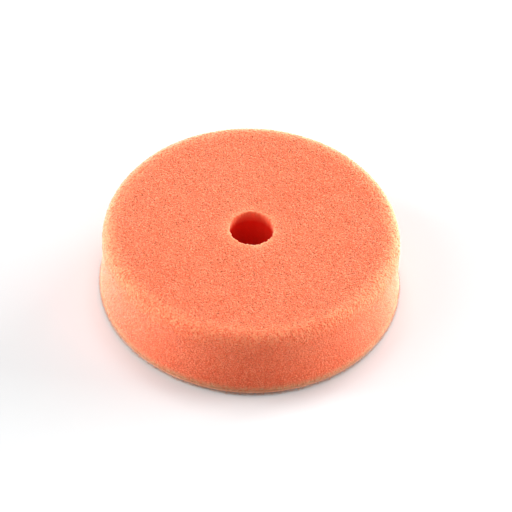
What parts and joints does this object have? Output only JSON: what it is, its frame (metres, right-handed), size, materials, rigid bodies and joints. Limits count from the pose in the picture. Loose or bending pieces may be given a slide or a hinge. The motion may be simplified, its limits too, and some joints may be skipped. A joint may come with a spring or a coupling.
{
  "type": "polishing pad",
  "caption": "Round open-cell foam polishing pad with a flat working face, rounded shoulder, centre hole and hook-and-loop backing, for a machine polisher.",
  "frame": {"origin": "on the pad's axis, in the plane of the loop face that meets the backing plate", "axes": "+Z along the pad's axis, from the loop face to the working face; the pad is round, so +X and +Y are arbitrary"},
  "size_m": [0.09, 0.09, 0.024],
  "materials": {
    "foam": "matte open-cell polyurethane foam, dyed orange",
    "film": "thin translucent hot-melt film",
    "ground_cloth": "fine warp-knit nylon",
    "loops": "brushed nylon loops"
  },
  "bodies": {
    "root": {"foam_body": "foam", "adhesive_film": "film", "loop_cloth": "ground_cloth", "loop_pile": "loops"}
  },
  "joints": []
}
